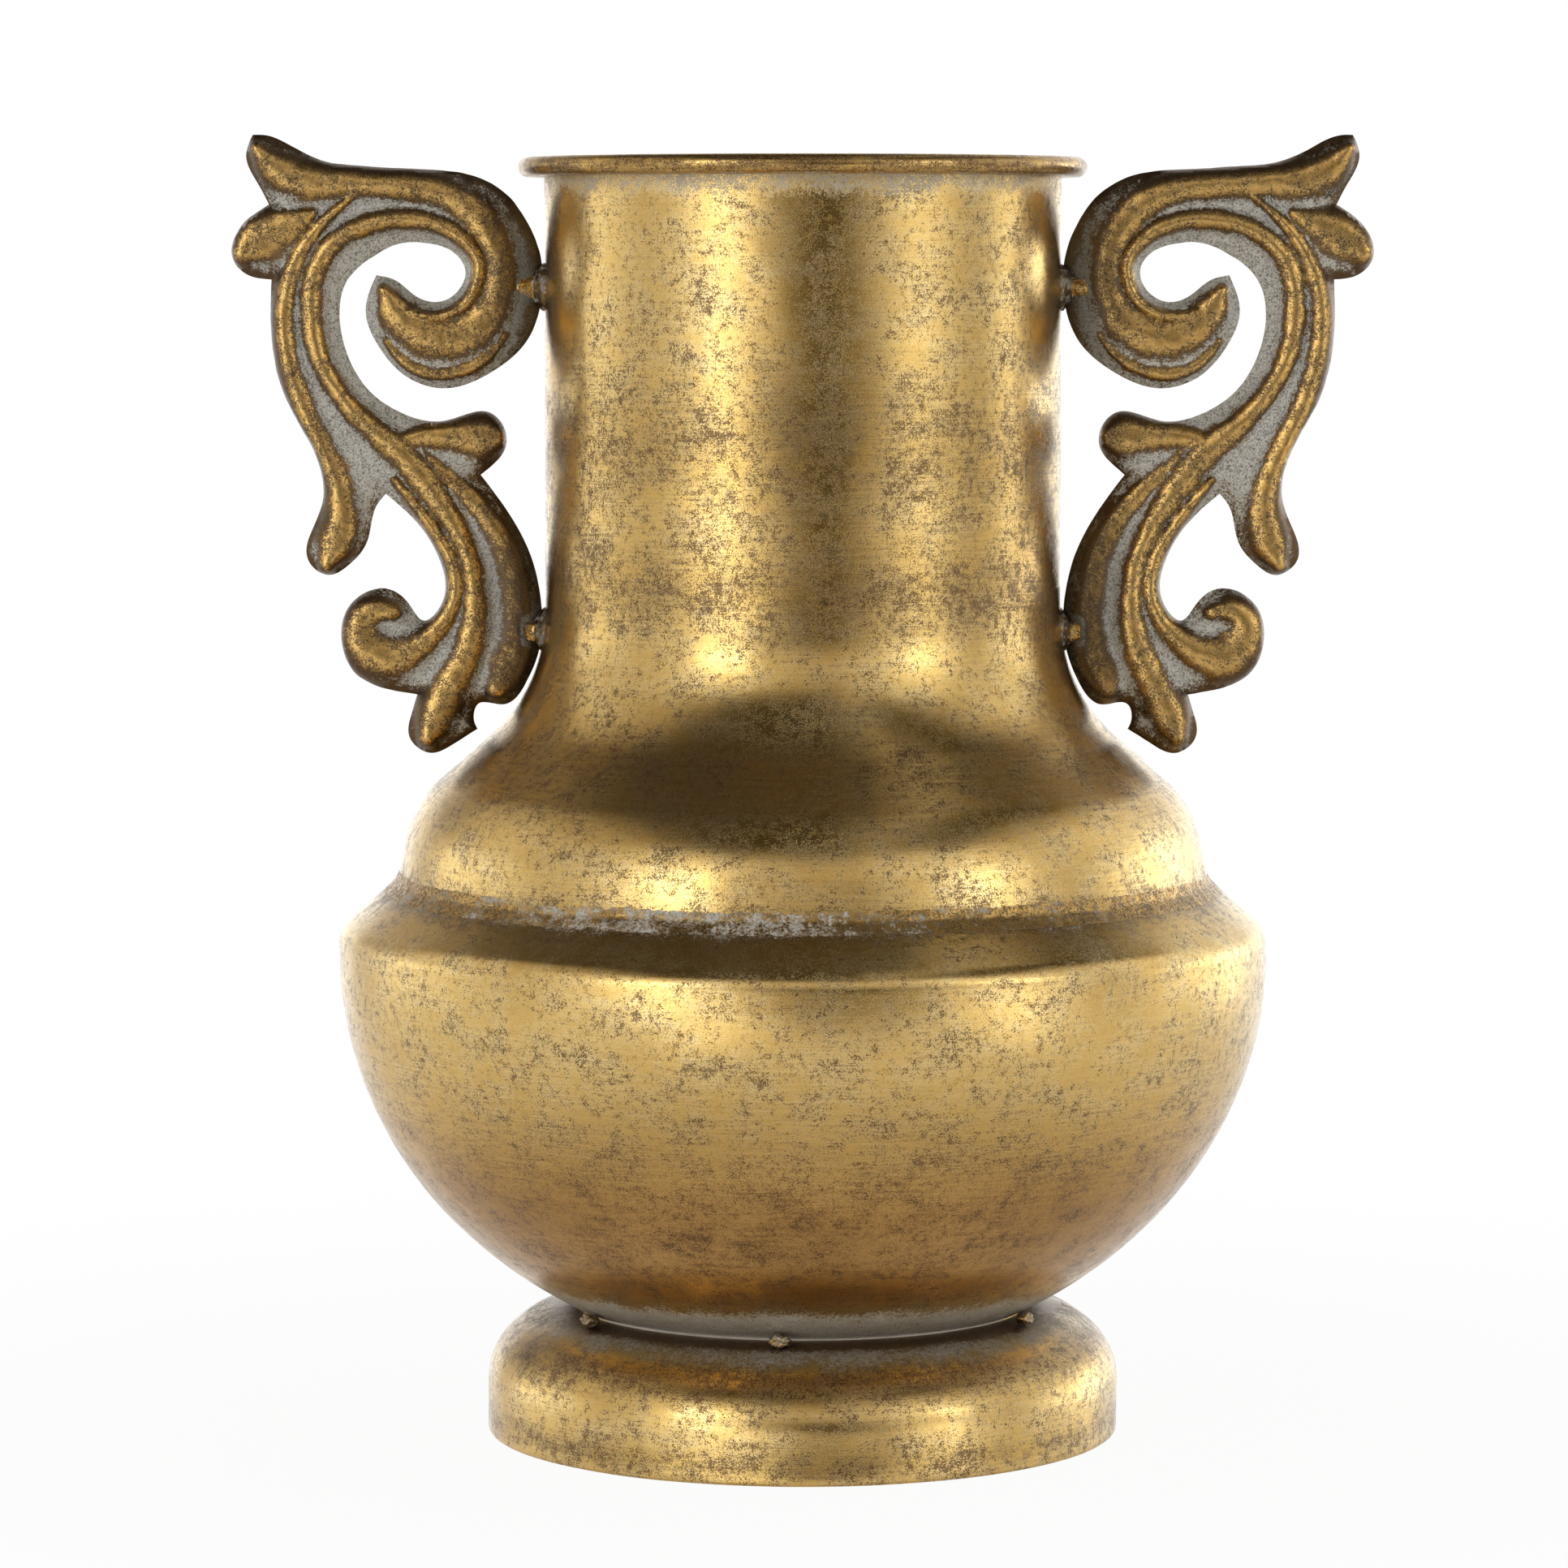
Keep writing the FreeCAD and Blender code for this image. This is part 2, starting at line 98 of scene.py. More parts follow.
class Finish:
    # One node tree, of a material or of the world
    def __init__(self, holder):
        holder.use_nodes = True
        self.tree = holder.node_tree
        self.tree.nodes.clear()

    def node(self, kind, settings=None, sockets=None, output=0):
        node = self.tree.nodes.new("ShaderNode" + kind)
        for name, value in (settings or {}).items():
            if name == "stops":
                self.setStops(node.color_ramp, value)
            else:
                setattr(node, name, value)
        for name, value in (sockets or {}).items():
            if isinstance(value, Wire):
                self.tree.links.new(value.socket, node.inputs[name])
            else:
                node.inputs[name].default_value = value
        return Wire(self.tree, node.outputs[output] if node.outputs else None)

    def setStops(self, ramp, stops):
        while len(ramp.elements) < len(stops):
            ramp.elements.new(1)
        for element, (position, colour) in zip(ramp.elements, stops):
            element.position = position
            element.color = (*colour, 1)

    def cloud(self, vector, scale, detail, rough):
        return self.node("TexNoise", sockets={"Vector": vector, "Scale": scale, "Detail": detail,
                                              "Roughness": rough})

    def unsigned(self, value):
        return self.node("Math", {"operation": "ABSOLUTE"}, {0: value})

    def step(self, value, low, high):
        return self.node("MapRange", {"interpolation_type": "SMOOTHSTEP"},
                         {"Value": value, "From Min": low, "From Max": high})

    def blend(self, amount, first, second):
        return self.node("Mix", {"data_type": "RGBA"}, {0: amount, 6: first, 7: second}, 2)

    def stretch(self, vector, amounts):
        return self.node("VectorMath", {"operation": "MULTIPLY"}, {0: vector, 1: amounts})

    def painted(self, name):
        return self.node("Attribute", {"attribute_name": name}, output="Fac")

    def parts(self, vector):
        split = self.node("SeparateXYZ", sockets={0: vector}).socket.node
        return [Wire(self.tree, split.outputs[i]) for i in range(3)]


# Studio: what the metal sees round it, by degrees to the right of the camera and by degrees above the horizon
studio = {
    "low": {-180: 1.3, -160: 1.5, -146: 0.9, -134: 0.75, -120: 1.7, -98: 1.25, -76: 0.7, -58: 0.95, -46: 1.7,
            -36: 1.95, -28: 1.4, -22: 0.95, -13: 0.55, -6: 0.3, 0: 0.08, 17: 0.05, 25: 0.25, 31: 0.58,
            44: 1.05, 56: 1.35, 66: 1.1, 76: 0.62, 86: 0.6, 100: 1.5, 116: 1.95, 130: 1.95, 142: 1.8,
            160: 1.6, 180: 1.3},
    "high": {-180: 0.8, -140: 0.4, -110: 0.9, -76: 0.7, -56: 1.0, -40: 1.6, -20: 0.8, 0: 0.6, 20: 0.6,
             40: 1.1, 60: 1.3, 80: 0.7, 105: 1.1, 130: 1.0, 180: 0.9},
    "floor": {-90: 0.5, -80: 0.62, -66: 0.7, -52: 0.6, -38: 0.68, -22: 0.86, 0: 0.95},
    # Heights between which one of them passes into the next
    "floorToWall": (-15, -2), "lowToHigh": (5, 18), "wallToCeiling": (30, 47),
    # Overhead: dark but for its sides and a slot of light to the right, by the sideways part of the direction
    "ceiling": 0.07, "ceilingSides": 0.5, "ceilingMiddle": 0.045, "ceilingEdge": (0.53, 0.68),
    "roofSlot": (0.322, 0.075, 0.8),  # place, half width, strength
    "darkTint": (1, 0.86, 0.70), "tinted": (0.1, 1.3), "backdrop": 1.0,
    # Lamps: bearing, half width, height, half height, strength; the last takes light away
    "lamps": ((-37, 12, 17, 10, 4.5), (-34, 15, -4, 8, 1.8), (54, 12, 16, 9, 3.2), (53, 13, -10, 9, 1.9),
              (128, 16, 4, 22, 1.5), (-17, 9, -12, 7, 1.4), (-27, 12, -17, 8, 1.5), (8, 24, -12, 14, -0.3)),
}


def dial(finish, angle, table, low, high):
    # Looks a number up in a table by angle; the ramp holds halves so that values may pass 1
    stops = [((key - low) / (high - low), (value / 2,) * 3) for key, value in sorted(table.items())]
    place = (angle - low) / (high - low)
    return finish.node("ValToRGB", {"stops": stops}, {0: place}) * 2


world = bpy.data.worlds.new("studio")
scene.world = world
sky = Finish(world)
toRight, away, up = sky.parts(sky.node("TexCoord", output="Generated"))
bearing = sky.node("Math", {"operation": "ARCTAN2"}, {0: toRight, 1: 0 - away}) * math.degrees(1)
rise = sky.node("Math", {"operation": "ARCSINE"}, {0: up}) * math.degrees(1)
lowWall = dial(sky, bearing, studio["low"], -180, 180)
highWall = dial(sky, bearing, studio["high"], -180, 180)
ground = dial(sky, rise, studio["floor"], -90, 0)
offCentre = sky.unsigned(toRight - studio["ceilingMiddle"])
sidesMore = studio["ceilingSides"] - studio["ceiling"]
ceiling = sky.step(offCentre, *studio["ceilingEdge"]) * sidesMore + studio["ceiling"]
slotPlace, slotWidth, slotLight = studio["roofSlot"]
ceiling = ceiling + (1 - sky.step(sky.unsigned(toRight - slotPlace), 0, slotWidth)) * slotLight
wall = lowWall + sky.step(rise, *studio["lowToHigh"]) * (highWall - lowWall)
seen = ground + sky.step(rise, *studio["floorToWall"]) * (wall - ground)
seen = seen + sky.step(rise, *studio["wallToCeiling"]) * (ceiling - seen)
for lampBearing, halfWidth, lampHeight, halfHeight, strength in studio["lamps"]:
    aside = sky.unsigned(bearing - lampBearing)
    above = sky.unsigned(rise - lampHeight)
    seen = seen + (1 - sky.step(aside, 0, halfWidth)) * (1 - sky.step(above, 0, halfHeight)) * strength
tint = sky.blend(sky.step(seen, *studio["tinted"]), (*studio["darkTint"], 1), (1, 1, 1, 1))
room = sky.node("Background", sockets={"Color": tint, "Strength": seen})
paper = sky.node("Background", sockets={"Color": (1, 1, 1, 1), "Strength": studio["backdrop"]})
toCamera = sky.node("LightPath", output="Is Camera Ray")
sky.node("OutputWorld", sockets={"Surface": sky.node("MixShader", sockets={0: toCamera, 1: room, 2: paper})})

# Floor: white paper that keeps a faint shadow
floorLook = {"reach": 4.0, "drop": 0.0002, "white": 0.95, "shadowShare": 0.05, "shadowFades": (0.1, 0.5)}
floorMaterial = bpy.data.materials.new("floorPaper")
paperFloor = Finish(floorMaterial)
matte = paperFloor.node("BsdfDiffuse", sockets={"Color": (floorLook["white"],) * 3 + (1,)})
bright = paperFloor.node("Emission", sockets={"Color": (1, 1, 1, 1), "Strength": 1})
spot = paperFloor.node("TexCoord", output="Object")
spread = paperFloor.node("VectorMath", {"operation": "LENGTH"}, {0: spot}, "Value")
shadowShare = floorLook["shadowShare"] * (1 - paperFloor.step(spread, *floorLook["shadowFades"]))
cameraShare = paperFloor.node("LightPath", output="Is Camera Ray") * (1 - shadowShare)
paperFloor.node("OutputMaterial", sockets={
    "Surface": paperFloor.node("MixShader", sockets={0: cameraShare, 1: matte, 2: bright})})
bpy.ops.mesh.primitive_plane_add(size=2 * floorLook["reach"], location=(0, 0, -floorLook["drop"]))
floor = bpy.context.object
floor.name = "floor"
floor.data.materials.append(floorMaterial)
floor.visible_glossy = False
floor.visible_diffuse = False
print("studio and floor ready")

# Finishes. Sizes are millimetres. The painted layers are grey dust in recesses, undercoat showing, amber brown
# and blackening: soot on the welds, painted shade on the foot's top under the bowl, darker handles by the neck
layers = ("grime", "wear", "warmth", "soot")
spunLook = {"gold": (0.66, 0.44, 0.14), "pale": (0.95, 0.76, 0.39), "amber": (0.42, 0.24, 0.085),
            "brown": (0.13, 0.072, 0.032), "grey": (0.50, 0.46, 0.38), "greyDark": (0.23, 0.20, 0.16),
            "soot": (0.07, 0.065, 0.06), "speckSize": 0.36, "grainSize": 0.16, "patchSize": 11,
            "wornShare": 0.13, "sweep": 1, "lineDepth": 0.008, "shine": 0.1, "tarnish": 0.6, "mottle": 0.8,
            "bump": 0.5, "dustMetal": 0.3}
castLook = {**spunLook, "gold": (0.58, 0.36, 0.115), "pale": (0.92, 0.67, 0.28), "amber": (0.16, 0.09, 0.038),
            "brown": (0.105, 0.066, 0.034), "grey": (0.60, 0.59, 0.54), "greyDark": (0.16, 0.155, 0.14),
            "speckSize": 0.5, "patchSize": 6, "wornShare": 0.08, "sweep": 0, "lineDepth": 0, "shine": 0.13,
            "tarnish": 0.9, "mottle": 1.1, "bump": 1.0, "dustMetal": 0.1}
weldLook = {**castLook, "grey": (0.62, 0.60, 0.54), "speckSize": 0.6, "patchSize": 3, "shine": 0.22,
            "tarnish": 0.6, "dustMetal": 0.3}


def agedGold(name, look):
    material = bpy.data.materials.new(name)
    f = Finish(material)
    place = f.stretch(f.node("TexCoord", output="Object"), (1000, 1000, 1000))
    swept = f.stretch(place, (0.05, 0.05, 1.5))
    hairline = f.stretch(place, (0.11, 0.11, 3.4))
    grime, wear, warmth, soot = (f.painted(layer) for layer in layers)
    speck = f.cloud(place, 1 / look["speckSize"], 5, 0.72) - 0.5
    crumb = f.cloud(place, 0.34 / look["speckSize"], 6, 0.82) - 0.5
    grain = f.cloud(place, 1 / look["grainSize"], 2, 0.8) - 0.5
    chips = f.cloud(place, 5 / look["patchSize"], 7, 0.8) - 0.5
    patch = f.cloud(f.stretch(place, (1, 1, 1 + 0.35 * look["sweep"])), 1 / look["patchSize"], 7, 0.7) - 0.5
    lines = f.cloud(swept, 1, 5, 0.7) - 0.5
    scratches = f.cloud(hairline, 1, 3, 0.6) - 0.5
    sweeps = (lines + scratches) * look["sweep"]
    flaking = speck * 1.7 + chips * 1.4 + grain * 0.6 + patch * look["mottle"] + sweeps * 0.14 + wear * 0.28
    worn = f.step(flaking, look["wornShare"], look["wornShare"] + 0.08)
    tarnishing = patch * 0.8 + crumb * 0.9 + speck * 0.6 + grain * 0.8 + wear * 0.6 + sweeps * 0.28
    tarnish = f.step(tarnishing, 0, 0.4)
    warm = f.step(warmth + patch * 0.6 + crumb * 0.6 + speck + grain * 0.8 + sweeps * 0.3, 0.2, 0.85)
    rubbed = f.step(patch + crumb * 0.8 + speck * 0.7 + grain * 1.1, -0.14, 0.24)
    leaf = f.blend(rubbed, (*look["gold"], 1), (*look["pale"], 1))
    leaf = f.blend(warm, leaf, (*look["amber"], 1))
    coat = f.blend(tarnish * look["tarnish"], leaf, (*look["brown"], 1))
    coat = f.blend(worn * 0.88, coat, (*look["brown"], 1))
    # Blackening flecked with gold: soot on the welds, painted shade on the foot's top, darkening by the neck
    # on the handles
    blackened = soot * (0.85 - 0.75 * f.step(grain + speck * 0.7, 0.14, 0.24))
    coat = f.blend(blackened, coat, (*look["soot"], 1))
    dusty = f.step(grime + crumb * 1.1 + speck * 1.3 + patch * look["mottle"], 0.36, 0.76)
    dust = f.blend(f.step(speck + crumb * 0.5, -0.14, 0.07), (*look["greyDark"], 1), (*look["grey"], 1))
    colour = f.blend(dusty, coat, f.blend(soot, dust, (*look["soot"], 1)))
    metal = 1 - dusty * (1 - look["dustMetal"]) - worn * 0.15
    rough = look["shine"] + worn * 0.12 + tarnish * 0.06 + dusty * 0.32
    rough = rough + patch * 0.15 + speck * 0.12 + grain * 0.2
    relief = (speck * 0.05 + crumb * 0.05 + grain * 0.014) * look["bump"]
    relief = relief + lines * look["lineDepth"] - worn * 0.014 + dusty * 0.015
    normal = f.node("Bump", sockets={"Height": relief, "Distance": 0.001, "Strength": 1})
    shader = f.node("BsdfPrincipled", sockets={"Base Color": colour, "Metallic": metal, "Roughness": rough,
                                               "Normal": normal})
    f.node("OutputMaterial", sockets={"Surface": shader})
    return material


def smoothLine(points, spacing):
    # Natural cubic curve through the points, sampled evenly; extra columns such as a width go along
    points = np.asarray(points, float)
    knots = np.concatenate([[0], np.cumsum(np.linalg.norm(np.diff(points[:, :2], axis=0), axis=1))])
    gaps = np.diff(knots)
    count = len(points)
    system = np.eye(count)
    right = np.zeros((count, points.shape[1]))
    for i in range(1, count - 1):
        system[i, i - 1:i + 2] = gaps[i - 1], 2 * (gaps[i - 1] + gaps[i]), gaps[i]
        right[i] = 6 * ((points[i + 1] - points[i]) / gaps[i] - (points[i] - points[i - 1]) / gaps[i - 1])
    bend = np.linalg.solve(system, right)
    along = np.linspace(0, knots[-1], max(3, int(knots[-1] / spacing) + 1))
    i = np.clip(np.searchsorted(knots, along, "right") - 1, 0, count - 2)
    h = gaps[i][:, None]
    a = (knots[i + 1] - along)[:, None]
    b = (along - knots[i])[:, None]
    return (bend[i] * a**3 + bend[i + 1] * b**3) / (6 * h) + (points[i] / h - bend[i] * h / 6) * a + (
        points[i + 1] / h - bend[i + 1] * h / 6) * b


def arcLine(centre, radius, start, end, count):
    angles = np.radians(np.linspace(start, end, count))
    radii = radius if isinstance(radius, tuple) else (radius, radius)
    return [(centre[0] + radii[0] * math.cos(a), centre[1] + radii[1] * math.sin(a)) for a in angles]


def evenly(line, spacing):
    # The same line with points no further apart than the spacing
    out = [line[0]]
    for a, b in zip(line, line[1:]):
        parts = max(1, math.ceil(math.dist(a, b) / spacing))
        for i in range(1, parts + 1):
            out.append((a[0] + (b[0] - a[0]) * i / parts, a[1] + (b[1] - a[1]) * i / parts))
    return out


def grown(point, scale, seed):
    # Smooth lumpy noise about zero
    return noise.fractal(Vector(point) / scale + Vector((seed, -seed, seed * 0.7)), 1.0, 2.0, 3)


def finishPiece(name, vertices, faces, marks, material, replaced):
    # Makes the mesh with its painted layers, closes and shades it, and gives the piece its place in the frame
    mesh = bpy.data.meshes.new(name)
    mesh.from_pydata(vertices, [], faces)
    for layer, values in marks.items():
        mesh.attributes.new(layer, "FLOAT", "POINT").data.foreach_set("value", values)
    tidied = bmesh.new()
    tidied.from_mesh(mesh)
    bmesh.ops.remove_doubles(tidied, verts=tidied.verts, dist=1e-6)
    loose = [edge for edge in tidied.edges if not edge.link_faces]
    bmesh.ops.delete(tidied, geom=loose, context="EDGES")
    bmesh.ops.recalc_face_normals(tidied, faces=tidied.faces)
    tidied.to_mesh(mesh)
    tidied.free()
    mesh.polygons.foreach_set("use_smooth", [True] * len(mesh.polygons))
    mesh.set_sharp_from_angle(angle=math.radians(sharpEdge))
    mesh.materials.append(material)
    piece = bpy.data.objects.new(name, mesh)
    scene.collection.objects.link(piece)
    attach(piece, "root")
    for node in replaced:
        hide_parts(node)
    return piece


def lathe(name, profile, material, replaced, dents, dentSize, marks, seed, steps=300):
    # Spins a closed profile; dents push its wall in and out by a fraction of a millimetre. The marks give
    # three layers, or all four
    vertices = []
    painted = {layer: [] for layer in layers}
    for radius, height in profile:
        for i in range(steps):
            angle = 2 * math.pi * i / steps
            x, y = math.sin(angle), -math.cos(angle)
            push = dents * grown((x * radius, y * radius, height), dentSize, seed)
            reach = radius + push if radius else 0
            vertices.append((x * reach * mm, y * reach * mm, height * mm))
            for layer, value in zip(layers, (*marks(math.degrees(angle), radius, height), 0)):
                painted[layer].append(value)
    rows = len(profile)
    faces = [(r * steps + i, r * steps + (i + 1) % steps, (r + 1) % rows * steps + (i + 1) % steps,
              (r + 1) % rows * steps + i) for r in range(rows) for i in range(steps)]
    return finishPiece(name, vertices, faces, painted, material, replaced)


spunGold = agedGold("spunGold", spunLook)
castGold = agedGold("castGold", castLook)
weldGold = agedGold("weldGold", weldLook)


def near(value, centre, width):
    # A soft peak of height 1
    return math.exp(-((value - centre) / width) ** 2)


# Foot, in millimetres like all that follows
foot = {"radius": 80.6, "band": 12.9, "curve": (23.0, 19.4), "hem": 74.6, "wall": 1.2, "edge": 0.9,
        "dents": 0.22, "greyFrom": 25}


def footMarks(angle, radius, height):
    top = max(0, min(1, (height - foot["greyFrom"]) / 6))
    seam = near(height, foot["band"] + foot["curve"][1], 1.4)
    return (0.78 * top * (1 - seam),
            0.12 + 0.45 * near(height, 25, 5) + 0.35 * near(height, 5, 4) + 1.2 * seam,
            0.15 + 0.1 * near(height, 23, 5) + 0.3 * seam,
            # The fourth layer blackens the foot's top: painted shade where it sits under the bowl
            0.6 * top * (1 - seam))


curveWide, curveHigh = foot["curve"]
curveCentre = (foot["radius"] - curveWide, foot["band"])
wall = foot["wall"]
footLine = [(foot["hem"], 0)]
footLine += arcLine((foot["radius"] - foot["edge"], foot["edge"]), foot["edge"], -90, 0, 5)
footLine += arcLine(curveCentre, foot["curve"], 0, 88, 40)
footInside = [(foot["hem"], wall), (foot["radius"] - wall, wall)]
footInside += arcLine(curveCentre, (curveWide - wall, curveHigh - wall), 0, 88, 20)
lathe("footShell", evenly(footLine + footInside[::-1], 1.5), spunGold, ["foot_ring"],
      foot["dents"], 24, footMarks, seed=3)

# Bowl
bowl = {"radius": 118.0, "depth": 103.4, "centre": 122.5, "floor": 29.7, "belt": 3.6, "crest": 6.5,
        "ledge": 51.5, "crease": (103.2, 141.05), "collar": (100.65, 143.1), "lap": 6.0, "lean": 11.1,
        "dents": 0.25}


def bowlMarks(angle, radius, height):
    bottom = max(0, min(1, (46 - height) / 8))
    crest = near(height, 130.5, 1.6)
    crease = near(height, 139.5, 3.2)
    blotch = 0.3 * near(angle, 62, 9) * near(height, 97, 14)
    return (0.85 * bottom + 0.5 * crease + blotch,
            0.1 + 0.5 * crease - 0.3 * crest,
            min(0.8, max(0, (114 - height) / 58)) * (1 - bottom) + 0.15 * crease)


def bowlSide(inset):
    centre = (0, bowl["centre"])
    radii = (bowl["radius"] - inset, bowl["depth"] - inset)
    lowest = math.degrees(math.asin((bowl["centre"] - bowl["floor"] - inset) / radii[1]))
    beltTop = bowl["centre"] + bowl["belt"]
    line = [(0, bowl["floor"] + inset)]
    line += arcLine(centre, radii, -lowest, 0, 70)
    line += arcLine((bowl["radius"] - bowl["crest"], beltTop), bowl["crest"] - inset, 0, bowl["ledge"], 12)
    lean = math.radians(bowl["lean"])
    x, z = bowl["collar"][0] - inset * 1.02, bowl["collar"][1] - inset * 0.3
    return line + [(x, z), (x - bowl["lap"] * math.sin(lean), z + bowl["lap"] * math.cos(lean))]


lathe("bowlShell", evenly(bowlSide(0) + bowlSide(wall)[::-1], 1.5), spunGold,
      ["belly_bowl"], bowl["dents"], 34, bowlMarks, seed=7)

# Dome between crease and neck
dome = {"slope": 48.4, "shoulder": (73.52, 145.32), "shoulderRadius": 28.3, "throat": (108.9, 210.05),
        "throatRadius": 43.6, "collar": 6.0, "dents": 0.25}


def domeMarks(angle, radius, height):
    crease = near(height, 141, 3.2)
    return (0.5 * crease,
            0.12 + 0.4 * crease + 0.2 * near(height, 176, 9) + 0.3 * near(height, 218, 11),
            0.3 * near(height, 172, 14) + 0.2 * crease + 0.22 * near(height, 228, 22))


def domeSide(inset):
    radius = dome["shoulderRadius"] - inset
    x, z = bowl["crease"]
    line = [(x - inset * 1.02, z)]
    line += arcLine(dome["shoulder"], radius, bowl["lean"], dome["slope"], 24)
    line += arcLine(dome["throat"], dome["throatRadius"] + inset, 180 + dome["slope"], 180, 30)
    x, z = line[-1]
    return line + [(x, z + dome["collar"])]


lathe("domeShell", evenly(domeSide(0) + domeSide(wall)[::-1], 1.5), spunGold,
      ["shoulder_dome"], dome["dents"], 30, domeMarks, seed=11)

# Neck and its rim
neck = {"radius": 65.3, "joint": 216.05, "top": 324.15, "spigot": 64.0, "lap": 6.0, "dents": 0.28,
        "greyBand": 2.5, "greyFade": 12}
rim = {"reach": 6.5, "thick": 4.9, "dents": 0.12}


def neckMarks(angle, radius, height):
    below = neck["top"] - rim["thick"] - height
    band = 0.56 - max(0, below - neck["greyBand"]) / neck["greyFade"]
    return (max(0, band) if radius > neck["spigot"] + 0.5 else 0.2,
            0.12 + 0.3 * near(height, 218, 11) + 0.25 * near(height, 252, 16),
            0.22 * near(height, 228, 22))


joint, neckTop = neck["joint"], neck["top"]
neckLine = [(neck["radius"], joint), (neck["radius"], neckTop - 0.5), (neck["radius"] - 0.4, neckTop),
            (neck["radius"] - wall, neckTop), (neck["radius"] - wall, joint + wall),
            (neck["spigot"] - wall, joint - wall), (neck["spigot"] - wall, joint - neck["lap"]),
            (neck["spigot"], joint - neck["lap"]), (neck["spigot"], joint)]
lathe("neckShell", evenly(neckLine + neckLine[:1], 1.5)[:-1], spunGold, ["neck_tube"],
      neck["dents"], 30, neckMarks, seed=15)


def rimMarks(angle, radius, height):
    under = 1 if height < neckTop - 4.2 else 0
    return 0.5 * under, 0.3 + 0.2 * near(height, neckTop - 2.5, 0.7), 0.5


half = rim["thick"] / 2
rimEnd = neck["radius"] + rim["reach"] - half
rimStart = neck["radius"] + 0.02
rimLine = [(rimStart, neckTop - rim["thick"]), (rimEnd, neckTop - rim["thick"])]
rimLine += arcLine((rimEnd, neckTop - half), half, -90, 90, 16) + [(rimStart, neckTop)]
lathe("rimBar", evenly(rimLine, 0.8), spunGold, ["rim_ring"], rim["dents"], 9, rimMarks,
      seed=19)

# Braze in the crease: a rough band that runs down the ledge and up the dome's skirt
braze = {"down": 4.4, "ledgeWay": (0.783, -0.623), "up": 2.8, "skirtWay": (-0.193, 0.981), "rough": 0.2,
         "dustyAt": -18, "dustyWide": 34}
x, z = bowl["crease"]
brazeFoot = (x + braze["ledgeWay"][0] * braze["down"], z + braze["ledgeWay"][1] * braze["down"])
brazeTop = (x + braze["skirtWay"][0] * braze["up"], z + braze["skirtWay"][1] * braze["up"])


def brazeMarks(angle, radius, height):
    aside = (angle - braze["dustyAt"] + 180) % 360 - 180
    spot = grown((angle * 0.3, 0, height * 0.3), 1.6, 29)
    return 0.22 + 0.34 * near(aside, 0, braze["dustyWide"]) + 0.3 * spot, 0.3, 0.2


brazeLine = evenly([brazeFoot, (x + 0.6, z + 0.1), brazeTop], 0.6) + [(x - 0.4, z + 0.6), (x - 0.2, z - 0.4)]
lathe("creaseBraze", brazeLine, weldGold, ["waist_braze"], braze["rough"], 2.2,
      brazeMarks, seed=23, steps=900)
print("body pieces built")

# Scroll handles. Places are shares of the handle's width outward from the neck and of its height upward
handle = {"inner": 66.2, "bottom": 173.35, "width": 78.0, "height": 156.8, "grid": 0.8, "edge": 0.5,
          "flank": 4.6, "ground": 3.1, "thick": 6.0, "roundOver": 3.2, "blackened": 17, "cast": 0.16,
          "flash": 0.12,
          # How grey the flank is along the outline, by number of stretch
          "greyFlanks": ((0, 0.05), (0.55, 0.1), (0.7, 0.8), (0.95, 1), (1, 1), (1.75, 1), (1.85, 0.3),
                         (2, 0.3), (2.5, 0.4), (3, 0.1), (4, 0.1), (4.4, 0.5), (4.8, 0.9), (5, 0.7),
                         (5.3, 0.1), (6, 0.1), (7, 0.3), (8, 0.05))}
outline = (
    ((0.931, 0.998), (0.897, 0.998), (0.805, 0.980), (0.700, 0.956), (0.595, 0.949), (0.385, 0.943),
     (0.228, 0.934), (0.123, 0.908), (0.044, 0.858), (0.000, 0.799), (0.000, 0.731), (0.046, 0.668),
     (0.165, 0.616), (0.310, 0.591), (0.442, 0.611), (0.528, 0.659), (0.569, 0.714), (0.534, 0.773)),
    ((0.534, 0.773), (0.474, 0.765), (0.408, 0.740), (0.335, 0.730), (0.277, 0.744), (0.245, 0.781),
     (0.276, 0.807), (0.360, 0.824), (0.452, 0.824), (0.545, 0.803), (0.629, 0.764), (0.654, 0.701),
     (0.626, 0.640), (0.560, 0.587), (0.455, 0.551), (0.310, 0.539), (0.165, 0.551), (0.113, 0.511),
     (0.198, 0.451)),
    ((0.198, 0.451), (0.101, 0.384), (0.035, 0.318), (0.004, 0.248), (0.004, 0.187), (0.053, 0.114),
     (0.127, 0.079), (0.209, 0.080), (0.223, 0.051), (0.212, 0.039)),
    ((0.212, 0.039), (0.289, 0.015), (0.369, 0.000), (0.435, 0.027), (0.427, 0.064), (0.408, 0.095)),
    ((0.408, 0.095), (0.513, 0.105), (0.606, 0.128), (0.655, 0.189), (0.628, 0.239), (0.512, 0.267),
     (0.430, 0.239), (0.388, 0.215), (0.329, 0.241), (0.326, 0.304), (0.391, 0.365), (0.507, 0.421)),
    ((0.507, 0.421), (0.539, 0.400), (0.569, 0.343), (0.630, 0.305), (0.696, 0.289), (0.762, 0.314),
     (0.743, 0.367), (0.710, 0.417), (0.733, 0.481), (0.824, 0.568), (0.873, 0.662), (0.874, 0.766)),
    ((0.874, 0.766), (0.953, 0.774), (1.000, 0.801), (0.965, 0.855), (0.880, 0.886)),
    ((0.880, 0.886), (0.911, 0.916), (0.953, 0.966), (0.931, 0.998)),
)

# Stubs between handle and neck; the castings are bored to take them
stub = {"sunk": 69.6, "heights": {"upper": 291.58, "lower": 204.4}, "knobbly": 0.5,
        "pocketHalf": 1.9, "pocketLevel": 2.3, "pocketSlope": 1.5,
        "bar": ((64.7, 3.7), (69, 3.4), (71.5, 3.8), (74.2, 3.7), (75.4, 2.8), (75.9, 1.2)),
        "beads": ((64.9, 3.4), (64.9, 6.2), (66.0, 5.7), (67.3, 4.3), (68.0, 3.5))}

